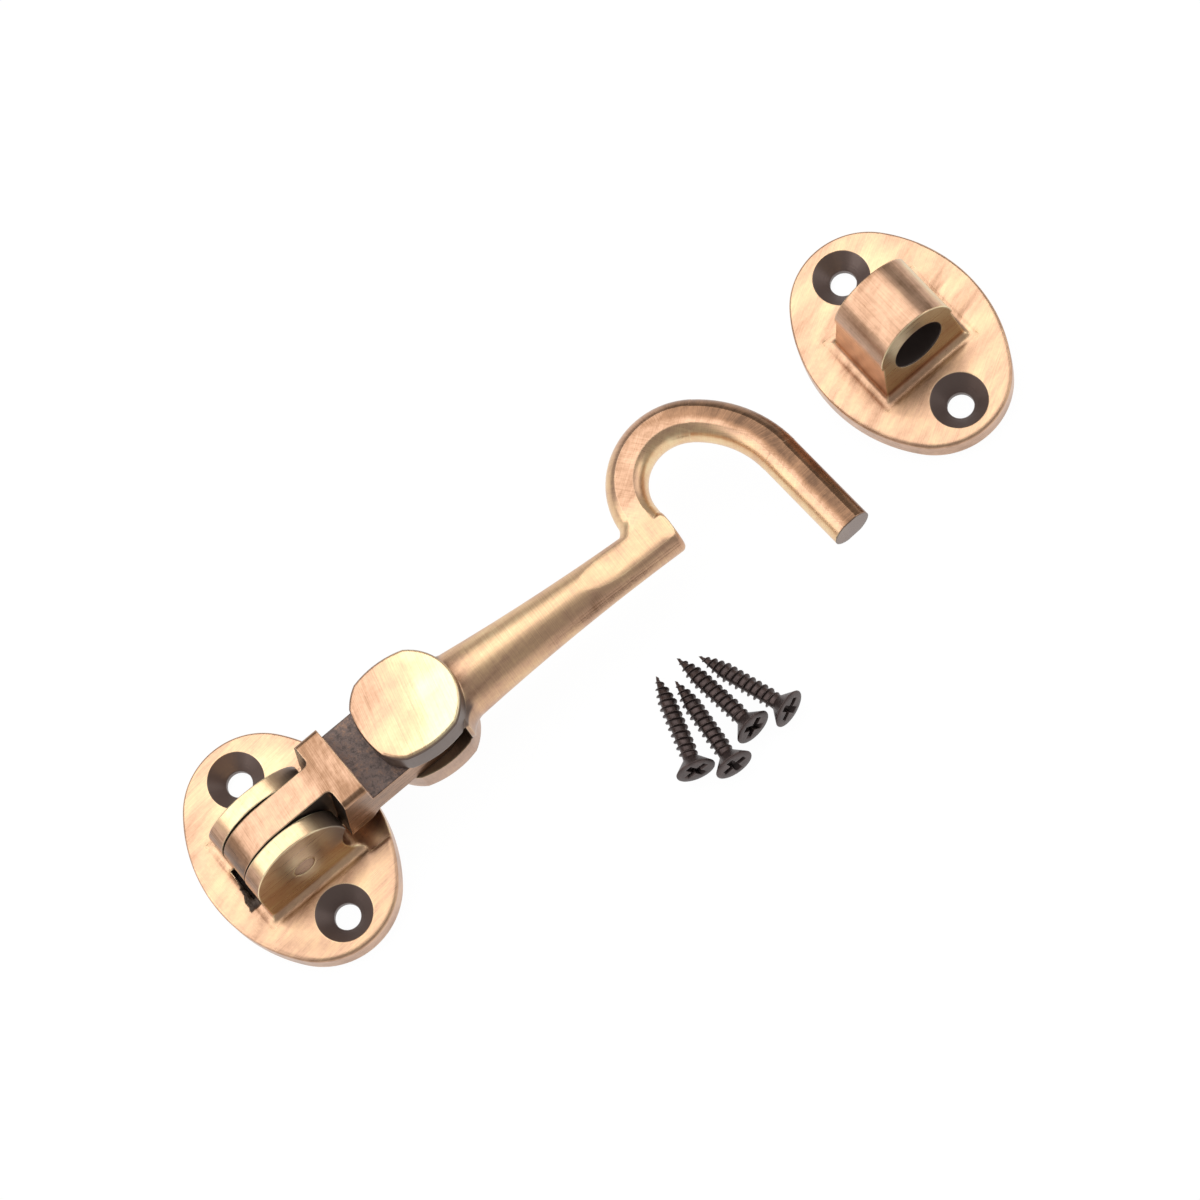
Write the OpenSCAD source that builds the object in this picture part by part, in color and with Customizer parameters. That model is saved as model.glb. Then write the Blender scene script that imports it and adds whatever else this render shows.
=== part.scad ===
// Hook and eye latch, laid out as a set on a table: a hook on a two-axis
// knuckle with its base plate, the eye plate that it drops into, and four
// countersunk wood screws. The origin is the middle of the hook base's
// mounting face, +X runs along the hook's arm, +Z leaves the face.

/* [Oval plates] */
// Length of each oval plate
plate_len = 40; // [38:0.5:44]
// Width of each oval plate
plate_w = 29.1; // [27.6:0.1:32]
// Thickness of each oval plate
plate_t = 3.5; // [3.2:0.1:4.2]
// Radius of the oval's two ends
plate_end_r = 11.8; // [11:0.1:12.4]
// Rounding along the plate's top edge
plate_edge_r = 0.4; // [0.3:0.1:1]
// Radius of the fillets at the foot of the ears and of the eye block
foot_r = 1.2; // [0.8:0.1:1.6]
// Depth to which those fillets' cutter scores the plate
foot_sunk = 0.1; // [0.05:0.05:0.3]

/* [Screw holes] */
// Distance between the two screw holes of a plate
hole_spacing = 27.6; // [26.4:0.1:28.4]
// Diameter of a screw hole
hole_d = 4.2; // [3.8:0.1:4.8]
// Diameter of a countersink at the plate's surface
sink_d = 9.1; // [8:0.1:9.6]

/* [Hook base] */
// Height of the base pin above the mounting face
pivot_h = 10.4; // [10.2:0.1:11.6]
// Radius of the ears' rounded tops
ear_r = 8.4; // [7.8:0.1:8.6]
// Thickness of each ear at the height of the pin
ear_t = 3.6; // [3.2:0.1:4.4]
// Lean of the ears' outer faces, in degrees
ear_lean = 6; // [2:0.5:7]
// Depth of the hollow that clears the knuckle's toe
scoop_depth = 0.9; // [0.3:0.1:1.2]
// Radius of that hollow
scoop_r = 5; // [4:0.1:6]
// Diameter of the base pin
base_pin_d = 3.8; // [3.2:0.1:4.4]

/* [Knuckle] */
// Width of the tongue between the ears
tongue_w = 5.2; // [4.4:0.1:6]
// Distance from the base pin to the back of the shoulder's top edge
shoulder_x = 10.3; // [9.8:0.1:11]
// Thickness of the shoulder along the arm
shoulder_t = 4.1; // [3.4:0.1:5]
// Width of the shoulder and of the front tongue
shoulder_w = 12.8; // [11.6:0.1:13.4]
// Drop of the shoulder's toe below the base pin
toe_drop = 3.2; // [2.9:0.1:4]
// Reach of the toe back under the shoulder's top edge
toe_back = 1.8; // [1.2:0.1:2]
// Rounding of the shoulder's upper long edges
shoulder_edge_r = 1.1; // [0.5:0.1:1.6]
// Thickness of the front tongue in the fork
front_tongue_t = 5.2; // [4.4:0.1:5.6]
// Radius of the fillets where the tongue joins the shoulder
tee_r = 0.9; // [0.4:0.1:1.2]

/* [Hook arm] */
// Distance between the base pin and the hook pin
pin_spacing = 27; // [26:0.2:30]
// Height of the arm's axis above the base pin
arm_lift = 0.8; // [0.4:0.1:1.2]
// Swing of the arm as it lies, in degrees
arm_swing = -3.7; // [-6:0.1:2]
// Half the width of the fork's cheeks
fork_r = 7.9; // [7.8:0.05:8.4]
// Radius of the fork's cheeks at their corners
fork_corner_r = 8.5; // [8.4:0.1:9.4]
// Radius of the cheeks' flatter back and sides
fork_flat_r = 15; // [12:0.5:24]
// Height of the fork over both cheeks
fork_h = 16.5; // [15:0.1:17]
// Rounding of the cheeks' outer edges
fork_edge_r = 0.5; // [0.2:0.1:1]
// Depth of the fork's slot past the hook pin
fork_slot_x = 5.2; // [3:0.1:5.6]
// Diameter of the hook pin
hook_pin_d = 4; // [3.2:0.1:4.6]
// Skin left over the blind end of the hook pin
pin_skin = 1; // [0.6:0.1:2]
// Radius of the shank next to the fork
shank_root_r = 5.5; // [5:0.05:6]
// Radius of the shank at its end
shank_end_r = 3.6; // [3.4:0.05:3.9]
// Distance from the hook pin to the end of the shank
shank_len = 48.3; // [44:0.1:56]
// Radius of the hollow between the fork and the shank
flare_r = 4; // [2.5:0.1:5]
// Rounding of the shank's blunt end
toe_r = 0.9; // [0.4:0.1:1.4]

/* [Hook curl] */
// Diameter of the curl's round bar
bar_d = 6.6; // [6:0.1:6.8]
// Height left between the flats on the bar's top and underside
bar_h = 6; // [5.4:0.1:6]
// Inside radius of the crown
crown_r = 6.5; // [5.6:0.1:7.5]
// Height of the crown's centre beside the shank's axis
crown_y = 4.4; // [4:0.1:6]
// Inside radius of the easing bend after the crown
ease_r = 14.8; // [11:0.1:16]
// Turn at which the crown passes into the easing bend, in degrees
ease_from = 54; // [48:1:64]
// Lean of the straight tip, in degrees
tip_lean = 6; // [2:1:12]
// Length of the straight tip
tip_len = 16.5; // [12:0.5:20]
// Radius of the hollow at the curl's neck
neck_r = 2.2; // [1.6:0.1:3]
// Distance from the hook pin at which the curl's flats start on the shank
flat_from = 39; // [37:0.5:42]
// Radius of the wheel that runs those flats out along the shank
wheel_r = 30; // [20:1:60]

/* [Eye plate] */
// Place of the eye plate along the arm
eye_x = 121.4; // [118:0.2:130]
// Place of the eye plate across the arm
eye_y = -0.2; // [-6:0.2:8]
// Turn of the eye plate as it lies, in degrees
eye_turn = 1; // [-6:0.5:8]
// Width of the eye block at its foot
eye_block_w = 15.6; // [14.6:0.1:17]
// Length of the eye block through the eye, at its foot
eye_block_len = 12.4; // [10:0.1:12.6]
// Radius of the block's round top
eye_top_r = 7; // [6.6:0.1:7.2]
// Height of the eye's centre above the mounting face
eye_h = 11.8; // [11:0.1:13]
// Diameter of the eye
eye_d = 8.9; // [8.4:0.1:9.4]
// Rise of the round top's centre above the eye's centre
eye_rise = 1.2; // [0.8:0.1:1.6]
// Ledge of the round top over the block's sides
eye_ledge = 0.3; // [0.1:0.05:0.4]
// Lean of the block's end faces, in degrees
eye_lean = 4; // [1:0.5:5]

/* [Screws] */
// Length of a screw
screw_len = 17.2; // [14:0.2:20]
// Diameter of a screw head
screw_head_d = 6.2; // [5.6:0.1:6.3]
// Diameter over the thread
screw_d = 3.1; // [2.6:0.1:3.3]
// Length of the pointed end
screw_tip_len = 5; // [3:0.2:6]
// Width of the cross recess's slots
recess_w = 0.8; // [0.6:0.1:1]
// Depth of the cross recess
recess_depth = 1; // [0.6:0.1:1.2]

/* [Clearances] */
// Gap on each side of a tongue
side_gap = 0.3; // [0.2:0.05:0.5]
// Radial running clearance of a pin in the knuckle
running_gap = 0.06; // [0.03:0.01:0.1]
// Radial clearance of a pin where it is held
held_gap = 0.02; // [0.01:0.01:0.04]
// Gap between round parts that turn past each other
turn_gap = 0.6; // [0.4:0.05:0.9]

/* [Hidden] */
$fn = 96;
over = 0.5;
brass = "#c9995f";
dark_steel = "#463c3c";
plate_a = plate_len / 2;
plate_b = plate_w / 2;
end_y = plate_a - plate_end_r;
side_r = (end_y * end_y + plate_b * plate_b - plate_end_r * plate_end_r) / (2 * (plate_b - plate_end_r));
side_x = side_r - plate_b;
meet_y = side_r * end_y / (side_r - plate_end_r);
sink_h = (sink_d - hole_d) / 2;
ear_gap = tongue_w + 2 * side_gap;
ears_w = ear_gap + 2 * ear_t;
ears_foot_w = ears_w + 2 * pivot_h * tan(ear_lean);
ears_plate_w = ears_foot_w - 2 * plate_t * tan(ear_lean);
tongue_r = ear_r - 0.1;
slot_r = tongue_r + turn_gap;
foot_bite = 0.05;
slot_end_x = ear_r + foot_r * 0.8;
scoop_x = shoulder_x + 1.4;
scoop_over = 0.2;
scoop_len = ears_plate_w + 2 * foot_reach(ear_lean) + 2 * scoop_over;
shoulder_top = tongue_r;
shoulder_front = shoulder_x + shoulder_t;
slot_h = front_tongue_t + 2 * side_gap;
slot_round_r = shoulder_w / 2 + turn_gap;
shank_start = fork_r + 1.4;
taper_len = shank_len - shank_start;
taper_drop = shank_root_r - shank_end_r;
taper_r = (taper_len * taper_len + taper_drop * taper_drop) / (2 * taper_drop);
crown_x = shank_len + crown_r - 0.1;
draw_down = 0.06;
lap = 0.3;
lap_turn = 2;
wheel_bite = 0.02;
bar_line_r = crown_r + bar_d / 2;
ease_line_r = ease_r + bar_d / 2;
eye_top_z = eye_h + eye_rise;
eye_side_lean = atan((eye_block_w / 2 - eye_top_r + eye_ledge) / (eye_top_z - plate_t));
neck_line_r = neck_r + bar_d / 2;
head_h = (screw_head_d - screw_d) / 2;
head_rim = 0.25;
screw_tilt = asin((screw_head_d - screw_d) / 2 / (screw_len - screw_tip_len));
// Where each screw's head lies and which way its point turns from +Y
screw_x = [54.2, 59.1, 65, 70.9];
screw_y = [-32.2, -35.4, -32.8, -34.2];
screw_turn = [-17, -6, 5.5, 16.5];

// A round plate with a rounded top edge
module round_plate(r) {
    rotate_extrude() {
        square([r - plate_edge_r, plate_t]);
        square([r, plate_t - plate_edge_r]);
        translate([r - plate_edge_r, plate_t - plate_edge_r])
            circle(plate_edge_r);
    }
}

// The oval plate shared by the hook base and the eye plate: two end discs
// and the lens between two large discs, which meet them smoothly
module oval_plate() {
    for (side = [-1, 1])
        translate([0, side * end_y, 0])
            round_plate(plate_end_r);
    intersection() {
        translate([-side_x, 0, 0])
            round_plate(side_r);
        translate([side_x, 0, 0])
            round_plate(side_r);
        translate([-plate_w, -meet_y, -over])
            cube([2 * plate_w, 2 * meet_y, plate_t + 2 * over]);
    }
}

// Two countersunk screw holes on the plate's long axis
module screw_holes() {
    for (y = [-hole_spacing / 2, hole_spacing / 2])
        translate([0, y, 0]) {
            translate([0, 0, -over])
                cylinder(d = hole_d, h = plate_t + 2 * over);
            translate([0, 0, plate_t - sink_h])
                cylinder(d1 = hole_d, d2 = sink_d, h = sink_h);
            translate([0, 0, plate_t])
                cylinder(d = sink_d, h = 2 * foot_r);
        }
}

// An outline drawn in X and Z, carried evenly both ways along Y
module along_y(length) {
    rotate([90, 0, 0])
        linear_extrude(length, center = true)
            children();
}

// An outline drawn in Y and Z, carried evenly both ways along X
module along_x(length) {
    rotate([90, 0, 90])
        linear_extrude(length, center = true)
            children();
}

// Distance from the foot of a leaning wall to the axis of its fillet's cutter
function cutter_x(lean) = foot_r / cos(lean) - (foot_r - foot_sunk) * tan(lean) - foot_bite;

// Distance from that foot to the line that the cutter leaves in the plate
function foot_reach(lean) =
    cutter_x(lean) + sqrt(foot_r * foot_r - (foot_r - foot_sunk) * (foot_r - foot_sunk));

// A square strip along Y that leans on a wall at x = 0, for a fillet
module foot_strip(length) {
    translate([-over, -length / 2, -over])
        cube([foot_r + over, length, foot_r - foot_sunk + over]);
}

// The cutter that hollows such a strip, bites the wall and scores the plate
module foot_cutter(length, lean) {
    translate([cutter_x(lean), 0, foot_r - foot_sunk])
        rotate([90, 0, 0])
            cylinder(r = foot_r, h = length, center = true);
}

// Lays its children on both sides of a block that stands on a plate
module on_sides(width) {
    translate([0, 0, plate_t])
        for (side = [0, 180])
            rotate([0, 0, side])
                translate([width / 2, 0, 0])
                    children();
}

// The strips round a block that stands on a plate, before they are hollowed
module foot_strips(x_w, y_w) {
    on_sides(x_w)
        foot_strip(y_w + 2 * foot_r);
    rotate([0, 0, 90])
        on_sides(y_w)
            foot_strip(x_w + 2 * foot_r);
}

// Hollows them to fillets that meet in mitres at the block's corners
module foot_cutters(x_w, x_lean, y_w, y_lean) {
    on_sides(x_w)
        foot_cutter(y_w + 2 * foot_reach(y_lean), x_lean);
    rotate([0, 0, 90])
        on_sides(y_w)
            foot_cutter(x_w + 2 * foot_reach(x_lean), y_lean);
}

// A block's end faces, leaning in from the given width at height zero
module leaning_ends(width, lean, height, length) {
    along_x(length)
        polygon([[-width / 2, 0], [width / 2, 0],
                 [width / 2 - height * tan(lean), height], [height * tan(lean) - width / 2, height]]);
}

module ear_outline() {
    translate([-ear_r, 0])
        square([2 * ear_r, pivot_h]);
    translate([0, pivot_h])
        circle(ear_r);
}

module hook_base() {
    color(brass)
        difference() {
            union() {
                oval_plate();
                intersection() {
                    along_y(ears_foot_w)
                        ear_outline();
                    leaning_ends(ears_foot_w, ear_lean, pivot_h + ear_r + over, 4 * ear_r);
                }
                foot_strips(2 * ear_r, ears_plate_w);
            }
            foot_cutters(2 * ear_r, 0, ears_plate_w, ear_lean);
            // room for the tongue between the ears and into the plate
            translate([0, -ear_gap / 2, plate_t])
                cube([2 * ear_r, ear_gap, 2 * pivot_h]);
            translate([-slot_end_x, -ear_gap / 2, plate_t * 0.55])
                cube([slot_end_x, ear_gap, 2 * pivot_h]);
            translate([0, 0, pivot_h])
                rotate([90, 0, 0])
                    cylinder(r = slot_r, h = ear_gap, center = true);
            // hollow under the knuckle's toe
            translate([scoop_x, 0, plate_t - scoop_depth + scoop_r])
                rotate([90, 0, 0])
                    cylinder(r = scoop_r, h = scoop_len, center = true);
            translate([0, 0, pivot_h])
                rotate([90, 0, 0])
                    cylinder(r = base_pin_d / 2 + held_gap, h = 2 * ears_w, center = true);
            screw_holes();
        }
}

// The pin's ends are dressed flush with the leaning ears
module base_pin() {
    color(brass)
        intersection() {
            translate([0, 0, pivot_h])
                rotate([90, 0, 0])
                    cylinder(d = base_pin_d, h = 2 * ears_w, center = true);
            leaning_ends(ears_foot_w, ear_lean, pivot_h + ear_r + over, 4 * ear_r);
        }
}

// The knuckle's outline from the side, with the base pin at the origin
module shoulder_side() {
    polygon([[shoulder_x - toe_back, -toe_drop], [shoulder_front - toe_back, -toe_drop],
             [shoulder_front, arm_lift - front_tongue_t / 2], [shoulder_front, shoulder_top],
             [shoulder_x, shoulder_top]]);
}

// The shoulder from the front, with rounded upper long edges
module shoulder_front_view() {
    r = shoulder_edge_r;
    translate([-shoulder_w / 2, -2 * toe_drop])
        square([shoulder_w, shoulder_top - r + 2 * toe_drop]);
    translate([r - shoulder_w / 2, -2 * toe_drop])
        square([shoulder_w - 2 * r, shoulder_top + 2 * toe_drop]);
    for (side = [-1, 1])
        translate([side * (shoulder_w / 2 - r), shoulder_top - r])
            circle(r);
}

module tongue() {
    rotate([90, 0, 0])
        cylinder(r = tongue_r, h = tongue_w, center = true);
    along_y(tongue_w)
        translate([0, -toe_drop])
            square([shoulder_front - over, toe_drop + tongue_r]);
}

// Fillets in the corners where the tongue meets the shoulder
module tee_fillets() {
    for (side = [-1, 1])
        translate([shoulder_x - tee_r, side * (tongue_w / 2 + tee_r), -toe_drop])
            difference() {
                translate([0, side > 0 ? -tee_r - over : 0, 0])
                    cube([tee_r + over, tee_r + over, toe_drop + shoulder_top]);
                translate([0, 0, -over])
                    cylinder(r = tee_r, h = 2 * shoulder_top + 2 * toe_drop);
            }
}

module front_tongue() {
    translate([0, 0, arm_lift - front_tongue_t / 2]) {
        translate([shoulder_x + over, -shoulder_w / 2, 0])
            cube([pin_spacing - shoulder_x - over, shoulder_w, front_tongue_t]);
        translate([pin_spacing, 0, 0])
            cylinder(d = shoulder_w, h = front_tongue_t);
    }
}

module knuckle() {
    color(brass)
        translate([0, 0, pivot_h])
            difference() {
                union() {
                    difference() {
                        intersection() {
                            along_y(shoulder_w)
                                shoulder_side();
                            along_x(6 * shoulder_x)
                                shoulder_front_view();
                        }
                        // the shoulder's back is hollowed round the ears
                        rotate([90, 0, 0])
                            cylinder(r = ear_r + turn_gap, h = 2 * shoulder_w, center = true);
                    }
                    tongue();
                    tee_fillets();
                    front_tongue();
                }
                rotate([90, 0, 0])
                    cylinder(r = base_pin_d / 2 + running_gap, h = 2 * shoulder_w, center = true);
                translate([pin_spacing, 0, -fork_h])
                    cylinder(r = hook_pin_d / 2 + running_gap, h = 2 * fork_h);
            }
}

// Sets the arm's own frame, hook pin at the origin and shank along +X
module at_hook_pin() {
    translate([pin_spacing, 0, pivot_h + arm_lift])
        rotate([0, 0, arm_swing])
            children();
}

module hook_pin() {
    color(brass)
        at_hook_pin()
            translate([0, 0, -fork_h / 2])
                cylinder(d = hook_pin_d, h = fork_h - pin_skin);
}

// A cheek-high disc with rounded edges
module fork_disc(r) {
    translate([0, 0, -fork_h / 2])
        rotate_extrude() {
            translate([0, fork_edge_r])
                square([r, fork_h - 2 * fork_edge_r]);
            square([r - fork_edge_r, fork_h]);
            for (z = [fork_edge_r, fork_h - fork_edge_r])
                translate([r - fork_edge_r, z])
                    circle(fork_edge_r);
        }
}

// The fork before it is slotted: a disc whose back and sides are flatter
module fork_blank() {
    intersection() {
        fork_disc(fork_corner_r);
        translate([fork_flat_r - fork_r, 0, 0])
            fork_disc(fork_flat_r);
        translate([0, fork_flat_r - fork_r, 0])
            fork_disc(fork_flat_r);
        translate([0, fork_r - fork_flat_r, 0])
            fork_disc(fork_flat_r);
    }
}

// Half outline of the shank: one long hollow sweep with a blunt rounded end
module shank_outline() {
    difference() {
        square([shank_len - toe_r, shank_root_r + over]);
        translate([shank_len, shank_end_r + taper_r])
            circle(taper_r, $fn = 1440);
    }
    square([shank_len, shank_end_r - toe_r]);
    translate([shank_len - toe_r, shank_end_r - toe_r])
        circle(toe_r);
}

// Half outline of the flare that joins the shank to the fork
module flare_outline() {
    difference() {
        square([shank_start, shank_root_r + flare_r / 2]);
        translate([shank_start, shank_root_r + flare_r])
            circle(flare_r);
    }
}

// Turns a half outline drawn along X into a round bar along X
module turned_bar() {
    rotate([0, 90, 0])
        rotate_extrude()
            rotate([0, 0, 90])
                scale([1, -1])
                    children();
}

module shank() {
    turned_bar()
        shank_outline();
    turned_bar()
        flare_outline();
}

// A bend of the curl's bar, drawn from one angle to another
module bar_bend(r, d, from, to) {
    rotate([0, 0, from])
        rotate_extrude(angle = to - from)
            translate([r, 0])
                circle(d = d);
}

// The curl's round bar. Each stretch starts inside the one before it and is
// drawn down by a hair, from the neck through the two bends to the tip.
module curl_bar() {
    translate([crown_x, crown_y, 0]) {
        translate([-bar_line_r, 0, 0])
            rotate([90, 0, 0])
                cylinder(d = bar_d + draw_down, h = crown_y);
        bar_bend(bar_line_r, bar_d, ease_from, 180 + lap_turn);
        rotate([0, 0, ease_from])
            translate([bar_line_r - ease_line_r, 0, 0]) {
                bar_bend(ease_line_r, bar_d - draw_down, tip_lean - ease_from, lap_turn / 2);
                rotate([0, 0, tip_lean - ease_from])
                    translate([ease_line_r, lap, 0])
                        rotate([90, 0, 0])
                            cylinder(d = bar_d - 2 * draw_down, h = tip_len + lap);
            }
    }
}

// The bend that fills the neck between the shank and the curl
module neck() {
    translate([crown_x - bar_line_r - neck_line_r + draw_down, neck_line_r, 0])
        bar_bend(neck_line_r, bar_d - draw_down, -90, 0);
}

// What a wheel grinds off the top of the curl and of the shank's end
module end_flat() {
    translate([flat_from, -2 * shank_len, bar_h / 2])
        cube([2 * shank_len, 4 * shank_len, shank_root_r]);
    translate([flat_from, 0, bar_h / 2 + wheel_r - wheel_bite])
        rotate([90, 0, 0])
            cylinder(r = wheel_r, h = 4 * shank_root_r, center = true);
}

module hook_arm() {
    color(brass)
        at_hook_pin()
            difference() {
                union() {
                    fork_blank();
                    shank();
                    curl_bar();
                    neck();
                }
                translate([-2 * fork_r, -2 * fork_r, -slot_h / 2])
                    cube([2 * fork_r + fork_slot_x, 4 * fork_r, slot_h]);
                translate([0, 0, -slot_h / 2])
                    cylinder(r = slot_round_r, h = slot_h);
                translate([0, 0, -fork_h])
                    cylinder(r = hook_pin_d / 2 + held_gap, h = 1.5 * fork_h - pin_skin);
                end_flat();
                rotate([180, 0, 0])
                    end_flat();
            }
}

// The eye block from the front: leaning sides under a round top
module eye_outline() {
    side_x = eye_top_r - eye_ledge;
    polygon([[-eye_block_w / 2, plate_t], [eye_block_w / 2, plate_t], [side_x, eye_top_z],
             [side_x, eye_top_z + eye_ledge], [-side_x, eye_top_z + eye_ledge], [-side_x, eye_top_z]]);
    intersection() {
        translate([0, eye_top_z])
            circle(eye_top_r);
        translate([-2 * eye_top_r, eye_top_z])
            square([4 * eye_top_r, 2 * eye_top_r]);
    }
}

module eye_plate() {
    top = eye_top_z + eye_top_r;
    color(brass)
        translate([eye_x, eye_y, 0])
            rotate([0, 0, eye_turn])
                difference() {
                    union() {
                        oval_plate();
                        intersection() {
                            along_y(eye_block_len)
                                eye_outline();
                            translate([0, 0, plate_t])
                                leaning_ends(eye_block_len, eye_lean, top, 2 * eye_block_w);
                        }
                        foot_strips(eye_block_w, eye_block_len);
                    }
                    foot_cutters(eye_block_w, eye_side_lean, eye_block_len, eye_lean);
                    translate([0, 0, eye_h])
                        rotate([90, 0, 0])
                            cylinder(d = eye_d, h = 2 * eye_block_len, center = true);
                    screw_holes();
                }
}

// One screw lying on the table, its head's face at the origin, point towards +Y
module screw(number) {
    color(dark_steel)
        translate([screw_x[number], screw_y[number], screw_head_d / 2 * cos(screw_tilt)])
            rotate([0, 0, screw_turn[number]])
                rotate([-90 - screw_tilt, 0, 0])
                    difference() {
                        union() {
                            cylinder(d = screw_head_d, h = head_rim);
                            translate([0, 0, head_rim])
                                cylinder(d1 = screw_head_d, d2 = screw_d, h = head_h);
                            cylinder(d = screw_d, h = screw_len - screw_tip_len);
                            translate([0, 0, screw_len - screw_tip_len])
                                cylinder(d1 = screw_d, d2 = 0, h = screw_tip_len);
                        }
                        for (turn = [0, 90])
                            rotate([0, 0, turn])
                                translate([-screw_head_d / 4, -recess_w / 2, -over])
                                    cube([screw_head_d / 2, recess_w, recess_depth + over]);
                    }
}

hook_base();
base_pin();
knuckle();
hook_pin();
hook_arm();
eye_plate();
screw(0);  // screw_1
screw(1);  // screw_2
screw(2);  // screw_3
screw(3);  // screw_4
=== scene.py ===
import bpy
import bmesh
import math
from mathutils import Matrix, Vector


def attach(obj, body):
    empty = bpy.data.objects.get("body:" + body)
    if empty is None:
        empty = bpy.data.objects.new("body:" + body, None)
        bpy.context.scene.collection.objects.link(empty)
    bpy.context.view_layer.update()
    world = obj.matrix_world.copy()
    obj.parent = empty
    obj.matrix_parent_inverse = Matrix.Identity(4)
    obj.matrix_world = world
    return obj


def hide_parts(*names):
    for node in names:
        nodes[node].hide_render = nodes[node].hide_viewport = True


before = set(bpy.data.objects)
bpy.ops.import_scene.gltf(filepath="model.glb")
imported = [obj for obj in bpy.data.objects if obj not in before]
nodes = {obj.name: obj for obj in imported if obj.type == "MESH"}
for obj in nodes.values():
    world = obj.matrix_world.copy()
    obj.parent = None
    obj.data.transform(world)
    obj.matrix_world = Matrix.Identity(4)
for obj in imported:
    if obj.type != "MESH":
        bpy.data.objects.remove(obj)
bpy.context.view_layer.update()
print("frame loaded:", len(nodes), "nodes")


# A value or colour in a material, so that shader maths reads as plain sums
class Wire:
    def __init__(self, graph, socket):
        self.graph = graph
        self.socket = socket

    def sum(self, operation, first, second):
        return self.graph.add("ShaderNodeMath", {"operation": operation}, {0: first, 1: second})

    def __add__(self, other):
        return self.sum("ADD", self, other)

    def __radd__(self, other):
        return self.sum("ADD", other, self)

    def __sub__(self, other):
        return self.sum("SUBTRACT", self, other)

    def __rsub__(self, other):
        return self.sum("SUBTRACT", other, self)

    def __mul__(self, other):
        return self.sum("MULTIPLY", self, other)

    def __rmul__(self, other):
        return self.sum("MULTIPLY", other, self)

    def __truediv__(self, other):
        return self.sum("DIVIDE", self, other)

    def __pow__(self, other):
        return self.sum("POWER", self, other)

    def __abs__(self):
        return self.sum("ABSOLUTE", self, 0.0)

    def atLeast(self, other):
        return self.sum("MAXIMUM", self, other)

    def held(self):
        return self.graph.add("ShaderNodeClamp", {}, {"Value": self})

    # 0 below low, 1 above high and a soft step between
    def step(self, low, high):
        return self.graph.add("ShaderNodeMapRange", {"interpolation_type": "SMOOTHSTEP"},
                              {"Value": self, "From Min": low, "From Max": high})

    def under(self, low, high):
        return 1.0 - self.step(low, high)

    def line(self, middle, half, soft):
        return abs(self - middle).under(half, half + soft)


# One material's nodes
class Graph:
    def __init__(self, name):
        self.material = bpy.data.materials.new(name)
        self.material.use_nodes = True
        self.tree = self.material.node_tree
        self.tree.nodes.clear()

    def add(self, kind, settings, inputs, out=0):
        node = self.tree.nodes.new(kind)
        for key, value in settings.items():
            if key == "stops":
                ramp = node.color_ramp
                while len(ramp.elements) < len(value):
                    ramp.elements.new(1.0)
                for stop, (place, colour) in zip(ramp.elements, value):
                    stop.position = place
                    stop.color = (*colour, 1.0)
            else:
                setattr(node, key, value)
        for key, value in inputs.items():
            if isinstance(value, Wire):
                self.tree.links.new(value.socket, node.inputs[key])
            elif isinstance(value, tuple) and len(value) == 3 and node.inputs[key].type == "RGBA":
                node.inputs[key].default_value = (*value, 1.0)
            else:
                node.inputs[key].default_value = value
        return Wire(self, node.outputs[out]) if node.outputs else None

    def mix(self, factor, first, second):
        return self.add("ShaderNodeMix", {"data_type": "RGBA"}, {0: factor, 6: first, 7: second}, 2)

    def split(self, vector):
        return [self.add("ShaderNodeSeparateXYZ", {}, {0: vector}, axis) for axis in range(3)]

    # millimetres in a piece's own frame, where origin is in metres and turn in degrees
    def millimetres(self, origin, turn):
        place = self.add("ShaderNodeTexCoord", {}, {}, "Object")
        return self.add("ShaderNodeMapping", {"vector_type": "TEXTURE"},
                        {"Vector": place, "Location": origin,
                         "Rotation": (0, 0, math.radians(turn)), "Scale": (0.001, 0.001, 0.001)})

    # the surface's own direction in that frame
    def facing(self, turn):
        normal = self.add("ShaderNodeTexCoord", {}, {}, "Normal")
        return self.add("ShaderNodeMapping", {"vector_type": "TEXTURE"},
                        {"Vector": normal, "Rotation": (0, 0, math.radians(turn))})

    def noise(self, vector, scale, detail=2.0, rough=0.5):
        return self.add("ShaderNodeTexNoise", {},
                        {"Vector": vector, "Scale": scale, "Detail": detail, "Roughness": rough}, "Fac")

    # fine lines, turned about Z and drawn out by the given lengths in millimetres
    def strokes(self, vector, turn, lengths, shift):
        lay = self.add("ShaderNodeMapping", {"vector_type": "TEXTURE"},
                       {"Vector": vector, "Location": (shift, shift * 2.0, shift * 3.0),
                        "Rotation": (0, 0, math.radians(turn)), "Scale": lengths})
        return self.noise(lay, 1.0, 3.0, 0.6)

    def surface(self, shader):
        self.add("ShaderNodeOutputMaterial", {}, {"Surface": shader})
        return self.material


# Antique brass: brushed gold over a brown wash, left dark where no brush reaches; shade in the gaps between parts
# is painted dark too
brassLook = {
    "deep": (0.140, 0.080, 0.050),
    "brown": (0.34, 0.188, 0.108),
    "tan": (0.62, 0.380, 0.250),
    "gold": (0.81, 0.545, 0.318),
    "pale": (1.0, 0.85, 0.53),
    "sootAndShade": (0.160, 0.113, 0.098),
    "black": (0.028, 0.023, 0.021),
    "steelGrey": (0.20, 0.148, 0.126),
    "shades": {"deep": 0.0, "brown": 0.26, "tan": 0.48, "gold": 0.68, "pale": 1.0},
    "roughness": 0.30, "brushedRough": 0.20, "washRough": 0.10, "sootRough": 0.06, "sootDull": 0.55,
    "edge": 0.0004, "washReach": 0.004, "footReach": 0.009,
}

# how much each mark moves the shade between deep and pale; top is added on faces that look up
toneShare = {"start": 0.66, "lines": 0.45, "topLines": 0.22, "clouds": 0.7, "specks": 0.18, "rub": 0.28,
             "wash": 0.36, "smudge": 0.36, "stain": 0.12, "topStain": 0.10, "walls": 0.10}

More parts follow.
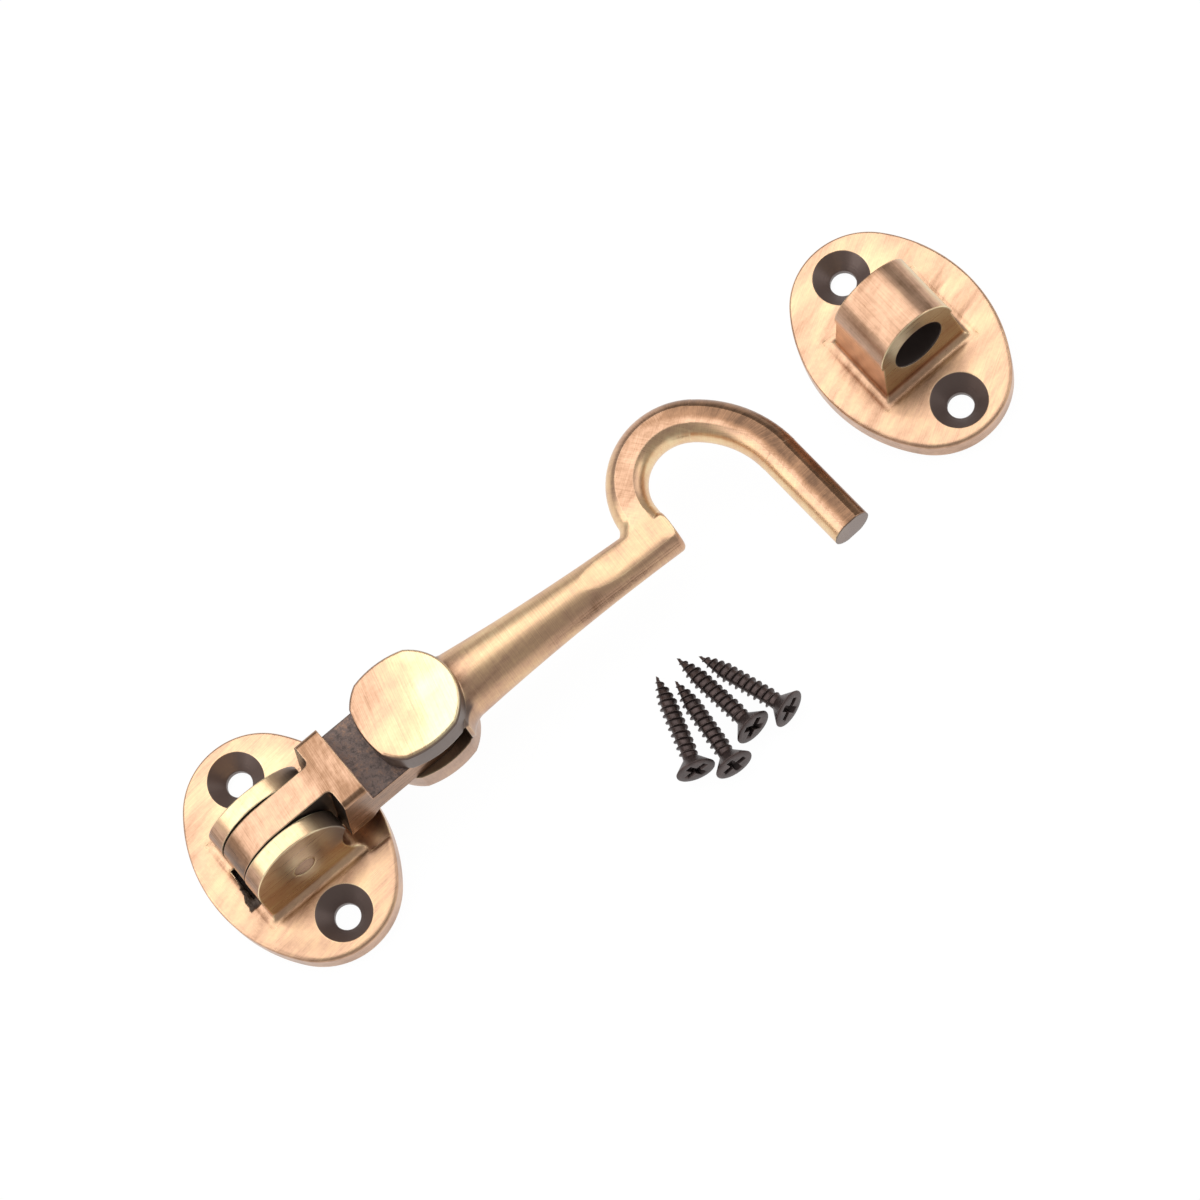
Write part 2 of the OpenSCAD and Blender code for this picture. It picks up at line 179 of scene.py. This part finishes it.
# heights in millimetres
reliefShare = {"lines": 0.004, "topLines": 0.004, "specks": 0.002, "waves": 0.10}


# what one casting's paint starts from: its own millimetres and the way its faces look
def openBrass(name, origin, turn):
    g = Graph(name)
    place = g.millimetres(origin, turn)
    return g, place, g.split(place), g.split(g.facing(turn))


# brush lines that follow the face that they lie on: up, to the side, or to the ends
def faceLines(way, top, side, end):
    across, along, up = [part * part for part in way]
    return top * up + side * along + end * across


# how freely the air reaches a point from within the given distance in metres
def openness(g, distance):
    return g.add("ShaderNodeAmbientOcclusion", {"samples": 6, "only_local": True}, {"Distance": distance}, "AO")


def blendNormals(g, factor, first, second):
    return g.add("ShaderNodeMix", {"data_type": "VECTOR"}, {0: factor, 4: first, 5: second}, 1)


# coat holds what differs from casting to casting
def finishBrass(g, place, way, lines, coat):
    up = way[2] * way[2]
    clouds = g.noise(place, 0.16, 3.0, 0.55)
    specks = g.noise(place, 1.7, 4.0, 0.6)
    smears = g.strokes(place, 14, (16.0, 3.0, 3.0), 11.0)

    # edges rub bright, corners keep the wash
    plain = g.add("ShaderNodeNewGeometry", {}, {}, "Normal")
    eased = g.add("ShaderNodeBevel", {"samples": 8}, {"Radius": brassLook["edge"]})
    turnOff = g.add("ShaderNodeVectorMath", {"operation": "DOT_PRODUCT"}, {0: plain, 1: eased}, "Value")
    rub = (1.0 - turnOff).step(0.0, 0.09)
    wash = (1.0 - openness(g, brassLook["washReach"])).step(0.30, 0.95)

    # brown left in streaks round the feet of what stands on a plate
    feet = (1.0 - openness(g, brassLook["footReach"])).step(0.08, 0.32)
    smudge = feet * (smears * 0.4 + lines * 0.6).step(0.40, 0.60) * up
    stain = (clouds * 0.5 + smears * 0.5).step(0.46, 0.68)
    if "melt" in coat:
        wide = g.add("ShaderNodeBevel", {"samples": 8}, {"Radius": coat["meltR"]})
        eased = blendNormals(g, coat["melt"], eased, wide)
    if "crisp" in coat:
        eased = blendNormals(g, coat["crisp"], eased, plain)

    share = toneShare
    tone = (share["start"] + (lines - 0.5) * (share["lines"] + up * share["topLines"])
            + (clouds - 0.5) * share["clouds"] + (specks - 0.5) * share["specks"] + rub * share["rub"]
            - wash * share["wash"] - smudge * share["smudge"]
            - stain * (share["stain"] + up * share["topStain"])
            - (1.0 - up) * share["walls"] + coat["shift"])
    stops = [(at, brassLook[shade]) for shade, at in brassLook["shades"].items()]
    hue = g.add("ShaderNodeValToRGB", {"stops": stops}, {"Fac": tone.held()}, "Color")
    if "grey" in coat:
        hue = g.mix(coat["grey"], hue, brassLook["steelGrey"])
    # these dark colours hold the unbrushed finish and also painted shade in the gaps between parts
    sootAndShade = coat["sootAndShade"].held()
    black = coat["black"].held()
    unbrushedAndShaded = sootAndShade.atLeast(black)
    colour = g.mix(black, g.mix(sootAndShade, hue, brassLook["sootAndShade"]), brassLook["black"])
    roughness = (brassLook["roughness"] + (lines - 0.5) * brassLook["brushedRough"]
                 + wash * brassLook["washRough"] + coat.get("rough", 0.0)
                 + unbrushedAndShaded * brassLook["sootRough"])

    # brush lines, then the slow waves of hand polishing
    waves = g.noise(place, 0.13, 1.0, 0.4)
    relief = (lines * (reliefShare["lines"] + up * reliefShare["topLines"])
              + specks * reliefShare["specks"] + waves * reliefShare["waves"] + coat["height"])
    bump = g.add("ShaderNodeBump", {},
                 {"Strength": 1.0, "Distance": 0.001, "Height": relief, "Normal": eased})
    shader = g.add("ShaderNodeBsdfPrincipled", {},
                   {"Base Color": colour, "Metallic": 1.0 - unbrushedAndShaded * brassLook["sootDull"],
                    "Roughness": roughness, "Normal": bump})
    return g.surface(shader)


def dress(name, material):
    piece = nodes[name]
    piece.data.materials.clear()
    piece.data.materials.append(material)


# Plates: two countersinks on the long axis, turned and left black; pairs are soft steps
plateLook = {
    "holeAt": 13.8, "sinkR": (4.45, 4.59), "nearR": (5.0, 5.4), "ringDepth": 0.012,
    "halfWide": 14.55, "halfLong": 20.0, "top": (3.55, 3.7), "rimTop": (3.2, 3.5),
    "edgeFrom": (0.72, 1.0), "crispFrom": (0.88, 0.92), "farSide": (-8.0, 2.0), "crisp": 0.8,
    "footFrom": (3.2, 3.3), "footTo": (4.8, 5.4), "footR": 0.0010,
}


def countersinks(g, spot):
    reach = ((abs(spot[1]) - plateLook["holeAt"]) ** 2.0 + spot[0] * spot[0]) ** 0.5
    rings = g.add("ShaderNodeTexNoise", {"noise_dimensions": "1D"},
                  {"W": reach, "Scale": 5.0, "Detail": 2.0}, "Fac")
    return reach.under(*plateLook["sinkR"]), reach.under(*plateLook["nearR"]), rings


# 0 in the middle of a plate's top and 1 along its edge, and where the far edge stays crisp
def plateEdge(spot):
    across = spot[0] / plateLook["halfWide"]
    along = spot[1] / plateLook["halfLong"]
    out = (across * across + along * along) ** 0.5
    low = spot[2].under(*plateLook["top"])
    crisp = out.step(*plateLook["crispFrom"]) * low * spot[1].step(*plateLook["farSide"]) * plateLook["crisp"]
    return out.step(*plateLook["edgeFrom"]) * low, crisp


def plateRim(spot, way):
    return (way[2] * way[2]).under(0.15, 0.6) * spot[2].under(*plateLook["rimTop"])


# the fillets at the feet, where the normals run together
def plateFoot(spot, near):
    return spot[2].step(*plateLook["footFrom"]) * spot[2].under(*plateLook["footTo"]) * (1.0 - near)


baseLook = {
    "brushTurn": (6.4, 8.2), "outerBrush": (10, 0.14, 3), "innerBrush": (9, 0.14, 3), "wideBrush": (11, 1.1, 6),
    "slotHalf": (2.86, 2.97), "slotFrom": (-9.5, -9.3), "slotFloor": (1.6, 1.75),
    "tearFrom": (-9.9, -9.7), "tearTo": (-8.3, -8.0), "tearLean": 0.24, "tearMiddle": 0.6,
    "tearHalf": (3.4, 3.8), "tearTop": (5.5, 6.5),
    "earFrom": (3.8, 4.6), "earLow": (5.0, 10.0), "archFrom": (6.0, 8.0),
}


def baseBrass():
    look = baseLook
    g, place, spot, way = openBrass("hookBaseBrass", (0, 0, 0), 0)
    x, y, z = spot
    sink, near, rings = countersinks(g, spot)
    outer = abs(y).step(*look["brushTurn"])
    top = (g.strokes(place, 4, look["outerBrush"], 3) * outer
           + g.strokes(place, 92, look["innerBrush"], 6) * (1.0 - outer))
    wide = g.strokes(place, 16, look["wideBrush"], 8)
    side = g.strokes(place, 0, (10, 3, 0.2), 5)
    end = g.strokes(place, 90, (7, 3, 0.2), 7)
    lines = faceLines(way, top * 0.6 + wide * 0.4, side, end)

    # the saw's slot between the ears runs out raggedly; the slot and its ragged run-out are painted black as
    # shade, and the ears' far ends get painted shade and a painted reflection of the dark knuckle
    rough = g.noise(place, 1.1, 4.0, 0.65)
    slot = abs(y).under(*look["slotHalf"]) * x.step(*look["slotFrom"]) * z.step(*look["slotFloor"])
    torn = (x - y * look["tearLean"] + (rough - 0.5)).step(*look["tearFrom"]) * x.under(*look["tearTo"])
    ragged = torn * abs(y + look["tearMiddle"]).under(*look["tearHalf"]) * z.under(*look["tearTop"])
    earEndShade = x.step(3.0, 7.8) * z.step(8.0, 10.0) * 0.85

    earFace = (way[1] * way[1]).step(0.5, 0.9) * z.step(*look["earFrom"])
    edge, crisp = plateEdge(spot)
    arch = z.step(*look["archFrom"]) * (1.0 - earFace)
    shaded = (0.0 - way[0]).step(0.55, 0.95)
    return finishBrass(g, place, way, lines, {
        "shift": (0.0 - plateRim(spot, way) * 0.02 - edge * 0.11
                  + earFace * (0.16 + z.under(*look["earLow"]) * 0.16) + arch * (0.13 - shaded * 0.46)),
        "sootAndShade": sink.atLeast(earEndShade),
        "black": (slot * 0.95).atLeast(ragged * 0.9),
        "melt": plateFoot(spot, near), "meltR": plateLook["footR"], "crisp": crisp,
        "height": sink * rings * plateLook["ringDepth"] + slot.atLeast(ragged) * rough * 0.5 - edge * 0.28})


eyeLook = {
    "origin": (0.1214, -0.0002, 0), "turn": 1, "fineBrush": (10, 0.14, 3), "wideBrush": (11, 1.1, 6),
    "barrelBrush": (10, 0.3, 0.3), "blockFrom": (4.8, 5.6), "boreZ": 11.8, "boreR": (4.5, 4.6),
}


def eyeBrass():
    look = eyeLook
    g, place, spot, way = openBrass("eyePlateBrass", look["origin"], look["turn"])
    x, _, z = spot
    sink, near, rings = countersinks(g, spot)
    top = g.strokes(place, 30, look["fineBrush"], 2) * 0.6 + g.strokes(place, 12, look["wideBrush"], 9) * 0.4
    barrel = g.strokes(place, 90, look["barrelBrush"], 4) * 0.6 + 0.2
    side = g.strokes(place, 0, (8, 3, 0.2), 5)
    block = z.step(*look["blockFrom"])
    lines = faceLines(way, top, side, side) * (1.0 - block) + faceLines(way, barrel, side, barrel) * block

    wall = block * (way[2] * way[2]).under(0.1, 0.5)
    # painted shade: the block's walls that face -X are darkened
    leftWallShade = (0.0 - way[0]).step(0.5, 0.9)
    edge, crisp = plateEdge(spot)
    bore = (((z - look["boreZ"]) ** 2.0 + x * x) ** 0.5).under(*look["boreR"])
    return finishBrass(g, place, way, lines, {
        "shift": (-0.05 - plateRim(spot, way) * 0.02 - edge * 0.06 - block * 0.15
                  + wall * (0.56 - leftWallShade * 0.46)),
        "grey": wall * 0.22,
        "sootAndShade": sink.atLeast(bore), "black": bore * 0.6,
        "melt": plateFoot(spot, near), "meltR": plateLook["footR"], "crisp": crisp,
        "height": sink * rings * plateLook["ringDepth"] - edge * 0.22})


knuckleLook = {
    "fineBrush": (9, 0.15, 3), "wideBrush": (9, 1.0, 5), "shoulderFrom": (7.5, 10.0), "roundTo": (2.0, 4.0),
    "frontFrom": (14.3, 14.6), "backFrom": (2.55, 2.75), "backTo": (10.6, 11.2),
    "cheekHalf": (2.62, 2.70), "cheekTo": (9.6, 10.4),
}


def knuckleBrass():
    look = knuckleLook
    g, place, spot, way = openBrass("knuckleBrass", (0, 0, 0), 0)
    x, y, _ = spot
    top = g.strokes(place, 84, look["fineBrush"], 3) * 0.6 + g.strokes(place, 66, look["wideBrush"], 8) * 0.4
    side = g.strokes(place, 0, (8, 3, 0.2), 5)
    end = g.strokes(place, 90, (6, 3, 0.2), 7)
    lines = faceLines(way, top, side, end)
    pitted = g.noise(place, 1.2, 6.0, 0.72)

    # the front tongue's top keeps its cast skin; the shoulder's hollow back and the tongue's sides between the
    # ears are painted black as shade
    front = x.step(*look["frontFrom"]) * way[2].step(0.4, 0.8)
    back = (0.0 - way[0]).step(0.30, 0.75) * abs(y).step(*look["backFrom"]) * x.under(*look["backTo"])
    cheek = (way[1] * way[1]).step(0.5, 0.9) * abs(y).under(*look["cheekHalf"]) * x.under(*look["cheekTo"])
    shaded = (0.0 - way[0]).step(0.55, 0.95) * x.under(*look["roundTo"])
    pits = front * pitted.under(0.36, 0.52) * 0.55
    return finishBrass(g, place, way, lines, {
        "shift": -0.16 - x.step(*look["shoulderFrom"]) * 0.15 - shaded * 0.34,
        "sootAndShade": front * (1.0 - pitted.step(0.50, 0.64) * 0.42),
        "black": (back * 0.95).atLeast(cheek * 0.95).atLeast(pits),
        "height": front * pitted * 0.12})


# The arm, measured from the hook pin: fork, shank and curl
armLook = {
    "origin": (0.027, 0, 0.0112), "turn": -3.7,
    "crown": (54.7, 4.4), "crownR": 9.8, "ease": (49.82, -2.315), "easeR": 18.1, "easeFrom": 54,
    "tipStart": (67.82, -0.423), "tipEnd": (69.55, -16.83), "lean": 6,
    "forkTo": (8.2, 9.2), "discTop": (7.4, 7.9), "slotHalf": (2.86, 2.97),
    "slotTo": (5.22, 5.32), "slotR": (7.05, 7.15), "upperCheek": (2.6, 3.2), "rootFrom": (7.6, 8.6), "rootTo": (9.0, 13.5),
    "seamFrom": (20, 36), "seamTo": (47.4, 47.8), "seams": ((1.13, 0.010), (0.99, 0.006)),
    "meltFrom": (20, 38), "meltTo": (46.0, 47.5), "meltSide": (3.0, 4.2), "meltR": 0.0022,
    "discLightWay": (0.77, -0.62), "discDome": -0.0032, "shankRough": 0.10,
}


def armBrass():
    look = armLook
    g, place, spot, way = openBrass("hookArmBrass", look["origin"], look["turn"])
    x, y, z = spot
    up = way[2] * way[2]
    crownX, crownY = look["crown"]
    easeX, easeY = look["ease"]
    startX, startY = look["tipStart"]
    endX, endY = look["tipEnd"]
    leanCos, leanSin = math.cos(math.radians(look["lean"])), math.sin(math.radians(look["lean"]))
    split = math.radians(look["easeFrom"])

    # how far out from the middle of the curl's bar a point lies
    fromCrown = ((x - crownX) ** 2.0 + (y - crownY) ** 2.0) ** 0.5
    fromEase = ((x - easeX) ** 2.0 + (y - easeY) ** 2.0) ** 0.5
    tipOut = (x - startX) * leanCos + (y - startY) * leanSin
    tipDown = (x - startX) * leanSin - (y - startY) * leanCos
    early = ((y - crownY) * math.cos(split) - (x - crownX) * math.sin(split)).step(-0.4, 0.4)
    straight = tipDown.step(-0.4, 0.4)
    bend = (fromCrown - look["crownR"]) * early + (fromEase - look["easeR"]) * (1.0 - early)
    out = bend * (1.0 - straight) + tipOut * straight
    onCurl = x.step(40.0, 43.0) * (y.step(2.0, 4.0).atLeast(x.step(50.0, 51.0)))
    outer = (out + x.step(50.0, 62.0) * 1.2).step(0.1, 1.3) * x.step(45.0, 56.0) * onCurl
    # the curl's flat browns slowly, away from the shank
    flat = y.step(1.5, 9.0).atLeast(x.step(50.0, 56.0))

    # brush lines: across the cheeks, round the shank, criss-cross on the curl
    cheek = g.strokes(place, 80, (20, 0.17, 3), 3) * 0.6 + g.strokes(place, 72, (24, 0.5, 5), 8) * 0.4
    rounds = g.strokes(place, 0, (0.13, 6, 6), 5) * 0.75 + g.strokes(place, 0, (12, 0.5, 0.5), 2) * 0.25
    angle = g.add("ShaderNodeMath", {"operation": "ARCTAN2"}, {0: y - crownY, 1: x - crownX})
    polar = g.add("ShaderNodeCombineXYZ", {}, {0: angle * look["crownR"], 1: fromCrown, 2: z})
    spokes = (g.strokes(polar, 0, (0.15, 8, 8), 1) * (1.0 - straight)
              + g.strokes(place, look["lean"], (8, 0.15, 8), 4) * straight)
    cross = g.strokes(place, 38, (7, 0.16, 3), 6) * 0.5 + g.strokes(place, -48, (7, 0.18, 3), 9) * 0.5
    curl = cross * (1.0 - outer) + (spokes * 0.6 + 0.2) * outer
    fork = x.under(*look["forkTo"])
    shank = (1.0 - fork) * (1.0 - onCurl)
    lines = cheek * fork + (rounds * (1.0 - onCurl) + curl * onCurl) * (1.0 - fork)

    # the fork's slot is painted black as shade, and the upper cheek's side dark
    fromPin = (x * x + y * y) ** 0.5
    slot = abs(z).under(*look["slotHalf"]) * x.under(*look["slotTo"]).atLeast(fromPin.under(*look["slotR"]))
    cheekSide = up.under(0.2, 0.7) * x.under(7.6, 8.8)
    upper = z.step(*look["upperCheek"])
    # the flare where fork meets shank is darkened on its near, lower side as painted shade
    root = x.step(*look["rootFrom"]) * x.under(*look["rootTo"])
    disc = z.step(*look["discTop"]) * fork
    # painted light: the disc's top is lighter towards the camera's right and darker towards its left
    discLightSweep = x * look["discLightWay"][0] + y * look["discLightWay"][1]

    # two fine lines where the mould closed, low on the shank's near side
    around = g.add("ShaderNodeMath", {"operation": "ARCTAN2"}, {0: 0.0 - y, 1: z})
    lower, higher = [around.line(at, half, 0.03) for at, half in look["seams"]]
    seam = (lower + higher * 0.8) * x.step(*look["seamFrom"]) * x.under(*look["seamTo"])
    # painted shade: a darker band on the shank's near, lower side
    shankShadeBand = around.step(0.25, 0.75) * around.under(1.0, 1.5) * x.step(9, 12) * (1.0 - onCurl)
    tipEnd = ((x - endX) * leanSin - (y - endY) * leanCos).step(-0.12, -0.05)
    inside = onCurl * (1.0 - up) * (1.0 - outer)
    return finishBrass(g, place, way, lines, {
        "shift": (0.04 - root * around.step(-0.2, 0.5) * 0.12 - onCurl * up * flat * 0.27
                  - outer * (0.12 + x.step(56.0, 65.0) * 0.20) - seam * 0.15 + inside * (0.10 + z * 0.09)
                  - cheekSide * 0.14 - shankShadeBand * 0.08 + disc * (discLightSweep * 0.040 + 0.02)),
        "sootAndShade": cheekSide * (0.25 + 0.55 * upper),
        "black": slot.atLeast(cheekSide * upper * 0.45),
        "grey": tipEnd * 0.95,
        "rough": shank * look["shankRough"],
        "melt": x.step(*look["meltFrom"]) * x.under(*look["meltTo"]) * y.under(*look["meltSide"]),
        "meltR": look["meltR"],
        "height": disc * (x * x + y * y) * look["discDome"] - seam * 0.015})


def pinBrass():
    g, place, spot, way = openBrass("pinBrass", (0, 0, 0), 0)
    lines = g.strokes(place, 0, (8, 3, 0.2), 5)
    none = spot[0] * 0.0
    return finishBrass(g, place, way, lines,
                       {"shift": -0.02, "sootAndShade": none, "black": none, "grey": 0.18, "height": 0.0})


dress("hook_base", baseBrass())
dress("eye_plate", eyeBrass())
dress("knuckle", knuckleBrass())
dress("hook_arm", armBrass())
pins = pinBrass()
dress("base_pin", pins)
dress("hook_pin", pins)
print("brass castings and pins dressed")


# Countersunk wood screws with a cross recess, in millimetres along the screw from its head
screwForm = {
    "headR": 3.1, "rim": 0.22, "neck": 2.0, "coreR": 1.08, "crestR": 1.55, "plainR": 1.22,
    "threadFrom": 2.3, "pitch": 1.16, "pointFrom": 12.2,
    "crossLong": 4.0, "crossWide": 1.12, "crossDeep": 1.15, "crestWide": 0.34, "sharp": 38,
    "around": 56, "along": 15,
    "rolls": (28, 12, 40, 20),
}


def crossReach(angle, form):
    c = max(abs(math.cos(angle)), 1e-6)
    s = max(abs(math.sin(angle)), 1e-6)
    half, wide = form["crossLong"] / 2, form["crossWide"] / 2
    return max(min(half / c, wide / s), min(half / s, wide / c))


# the body's radius at a depth and angle, with the thread wound round it
def bodyRadius(depth, angle, length, form):
    start = form["rim"] + form["neck"]
    if depth <= start:
        cone = 1 - (depth - form["rim"]) / form["neck"]
        return form["plainR"] + (form["headR"] - form["plainR"]) * cone
    wound = depth / form["pitch"] - angle / (2 * math.pi)
    wave = abs((wound % 1.0) - 0.5) * 2.0
    crest = max(0.0, 1.0 - wave / form["crestWide"])
    grow = min(1.0, max(0.0, (depth - form["threadFrom"]) / 1.2))
    thin = min(1.0, max(0.0, (length - depth) / (length - form["pointFrom"])))
    core = form["plainR"] + (form["coreR"] - form["plainR"]) * min(1.0, max(0.0, (depth - start) / 1.5))
    core = core * thin ** 0.8
    rise = (form["crestR"] - form["coreR"]) * grow * min(1.0, thin * 1.8) ** 0.7
    return max(core + rise * crest, 0.0)


def buildScrew(name, roll, material):
    form = screwForm
    points = [v.co for v in nodes[name].data.vertices]
    middle = sum(points, Vector()) / len(points)
    tip = max(points, key=lambda p: (p - middle).length)
    far = max((p - tip).length for p in points)
    rim = [p for p in points if (p - tip).length > far - 1e-5]
    head = sum(rim, Vector()) / len(rim)
    axis = (tip - head).normalized()
    length = (tip - head).length * 1000
    sideways = axis.cross(Vector((0, 0, 1))).normalized()
    upward = sideways.cross(axis)
    mould = bmesh.new()
    count = form["around"]

    # the cross's corners have to fall on the angles
    corner = math.atan2(form["crossWide"], form["crossLong"])
    base = [2 * math.pi * i / count for i in range(count)]
    marks = []
    for quarter in range(4):
        marks += [quarter * math.pi / 2 + t for t in (-corner, corner, math.pi / 4)]
    clear = [a for a in base if all(abs(math.remainder(a - m, 2 * math.pi)) > 0.03 for m in marks)]
    angles = sorted(clear + [m % (2 * math.pi) for m in marks])

    def ring(radius, depth):
        made = []
        for a in angles:
            r = radius(a) if callable(radius) else radius
            d = depth(a) if callable(depth) else depth
            t = a + math.radians(roll)
            spoke = sideways * (r * math.cos(t)) + upward * (r * math.sin(t))
            made.append(mould.verts.new(head + (spoke + axis * d) / 1000))
        return made

    def skin(first, second):
        n = len(first)
        for i in range(n):
            mould.faces.new((first[i], first[(i + 1) % n], second[(i + 1) % n], second[i]))

    # head face, from the bottom of the recess out to the rim
    rings = [ring(lambda a: 0.30 * crossReach(a, form), form["crossDeep"]),
             ring(lambda a: 0.72 * crossReach(a, form), form["crossDeep"] * 0.82),
             ring(lambda a: 0.97 * crossReach(a, form), 0.06),
             ring(lambda a: 1.03 * crossReach(a, form), 0.0),
             ring(lambda a: max(1.1 * crossReach(a, form), form["headR"] * 0.66), 0.0),
             ring(form["headR"] - 0.16, 0.0), ring(form["headR"] - 0.045, 0.05),
             ring(form["headR"], 0.14), ring(form["headR"], form["rim"])]
    floorPoint = mould.verts.new(head + axis * (form["crossDeep"] * 1.15 / 1000))
    for i in range(len(angles)):
        mould.faces.new((floorPoint, rings[0][(i + 1) % len(angles)], rings[0][i]))
    steps = int((length - form["rim"]) * form["along"])
    for i in range(1, steps):
        depth = form["rim"] + (length - form["rim"]) * i / steps
        rings.append(ring(lambda a, d=depth: bodyRadius(d, a, length, form), depth))
    for first, second in zip(rings, rings[1:]):
        skin(first, second)
    last = mould.verts.new(tip)
    for i in range(len(angles)):
        mould.faces.new((rings[-1][i], rings[-1][(i + 1) % len(angles)], last))
    bmesh.ops.recalc_face_normals(mould, faces=mould.faces)
    mesh = bpy.data.meshes.new(name + "Thread")
    mould.to_mesh(mesh)
    mould.free()
    mesh.shade_smooth()
    mesh.set_sharp_from_angle(angle=math.radians(form["sharp"]))
    piece = bpy.data.objects.new("wood" + name.replace("_", "").capitalize(), mesh)
    bpy.context.scene.collection.objects.link(piece)
    piece.data.materials.append(material)
    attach(piece, "base")
    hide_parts(name)


# Chemically browned steel, dull in the thread and rubbed on its crests
steelLook = {
    "brown": (0.120, 0.083, 0.076), "black": (0.036, 0.026, 0.025), "rubbed": (0.27, 0.215, 0.20),
    "roughness": 0.38, "gritRough": 0.3, "metallic": 0.75, "edge": 0.00015, "reach": 0.0012, "gritHeight": 0.00004,
}


def brownedSteel():
    g = Graph("brownedSteel")
    place = g.millimetres((0, 0, 0), 0)
    mottle = g.noise(place, 0.9, 4.0, 0.6)
    grit = g.noise(place, 7.0, 3.0, 0.6)
    plain = g.add("ShaderNodeNewGeometry", {}, {}, "Normal")
    eased = g.add("ShaderNodeBevel", {"samples": 6}, {"Radius": steelLook["edge"]})
    turnOff = g.add("ShaderNodeVectorMath", {"operation": "DOT_PRODUCT"}, {0: plain, 1: eased}, "Value")
    rub = (1.0 - turnOff).step(0.02, 0.25)
    shade = openness(g, steelLook["reach"]).step(0.35, 0.95)
    body = g.mix((mottle - 0.5) * 1.6 + 0.5, steelLook["black"], steelLook["brown"])
    body = g.mix(1.0 - shade, body, steelLook["black"])
    colour = g.mix(rub * shade * 0.6, body, steelLook["rubbed"])
    bump = g.add("ShaderNodeBump", {},
                 {"Strength": 0.25, "Distance": steelLook["gritHeight"], "Height": grit, "Normal": eased})
    roughness = steelLook["roughness"] + (grit - 0.5) * steelLook["gritRough"]
    shader = g.add("ShaderNodeBsdfPrincipled", {},
                   {"Base Color": colour, "Metallic": steelLook["metallic"],
                    "Roughness": roughness, "Normal": bump})
    return g.surface(shader)


steel = brownedSteel()
for number in range(4):
    buildScrew("screw_%d" % (number + 1), screwForm["rolls"][number], steel)
print("screws built: 4")


# White table, soft studio light, camera as in the photograph
studio = {
    "tableSize": 6.0, "tableLow": -0.00003, "tableGrey": (0.96, 0.96, 0.96), "tableGlow": 1.02, "tableShare": 0.95,
    "world": 0.36,
    "eye": (0.0184, -0.2287, 0.6446),
    "right": (0.76638, -0.61962, -0.1695), "up": (0.63945, 0.71064, 0.29342),
    "forward": (0.06135, 0.33326, -0.94084),
    "lens": 134.04,
    "lamps": {
        "softbox": {"at": (0.14, 0.30, 0.62), "size": (1.00, 0.62), "glow": 1.6},
        "rightStrip": {"at": (0.66, -0.22, 0.30), "size": (0.50, 0.26), "glow": 1.3},
        "leftPanel": {"at": (-0.52, 0.18, 0.40), "size": (0.62, 0.60), "glow": 1.6},
    },
    "aim": (0.06, 0.0, 0.0),
}


def layTable():
    size = studio["tableSize"]
    mesh = bpy.data.meshes.new("table")
    low = studio["tableLow"]
    corners = [(-size, -size, low), (size, -size, low), (size, size, low), (-size, size, low)]
    mesh.from_pydata(corners, [], [(0, 1, 2, 3)])
    table = bpy.data.objects.new("table", mesh)
    bpy.context.scene.collection.objects.link(table)
    g = Graph("whiteTable")
    seen = g.add("ShaderNodeLightPath", {}, {}, "Is Camera Ray")
    mirrored = g.add("ShaderNodeLightPath", {}, {}, "Is Glossy Ray")
    through = g.add("ShaderNodeLightPath", {}, {}, "Is Transmission Ray")
    matt = g.add("ShaderNodeBsdfPrincipled", {}, {"Base Color": studio["tableGrey"], "Roughness": 0.9})
    white = g.add("ShaderNodeEmission", {}, {"Color": (1, 1, 1), "Strength": studio["tableGlow"]})
    direct = (seen + mirrored + through).held() * studio["tableShare"]
    both = g.add("ShaderNodeMixShader", {}, {0: direct, 1: matt, 2: white})
    mesh.materials.append(g.surface(both))


def lightStudio():
    world = bpy.data.worlds.new("studio")
    world.use_nodes = True
    bpy.context.scene.world = world
    tree = world.node_tree
    tree.nodes["Background"].inputs["Color"].default_value = (1, 1, 1, 1)
    tree.nodes["Background"].inputs["Strength"].default_value = studio["world"]
    aim = Vector(studio["aim"])
    for name, how in studio["lamps"].items():
        lamp = bpy.data.lights.new(name, "AREA")
        lamp.shape = "RECTANGLE"
        lamp.size, lamp.size_y = how["size"]
        lamp.energy = how["glow"] * math.pi * how["size"][0] * how["size"][1]
        holder = bpy.data.objects.new(name, lamp)
        bpy.context.scene.collection.objects.link(holder)
        holder.location = how["at"]
        holder.rotation_euler = (aim - Vector(how["at"])).to_track_quat("-Z", "Y").to_euler()


def setCamera():
    lens = bpy.data.cameras.new("camera")
    lens.sensor_width = 36.0
    lens.lens = studio["lens"]
    lens.clip_start = 0.01
    holder = bpy.data.objects.new("camera", lens)
    bpy.context.scene.collection.objects.link(holder)
    right, up, back = Vector(studio["right"]), Vector(studio["up"]), -Vector(studio["forward"])
    turned = Matrix((right, up, back)).transposed().to_4x4()
    holder.matrix_world = Matrix.Translation(Vector(studio["eye"])) @ turned
    bpy.context.scene.camera = holder


layTable()
lightStudio()
setCamera()
bpy.context.scene.view_settings.view_transform = "Standard"
print("table, lamps and camera set")
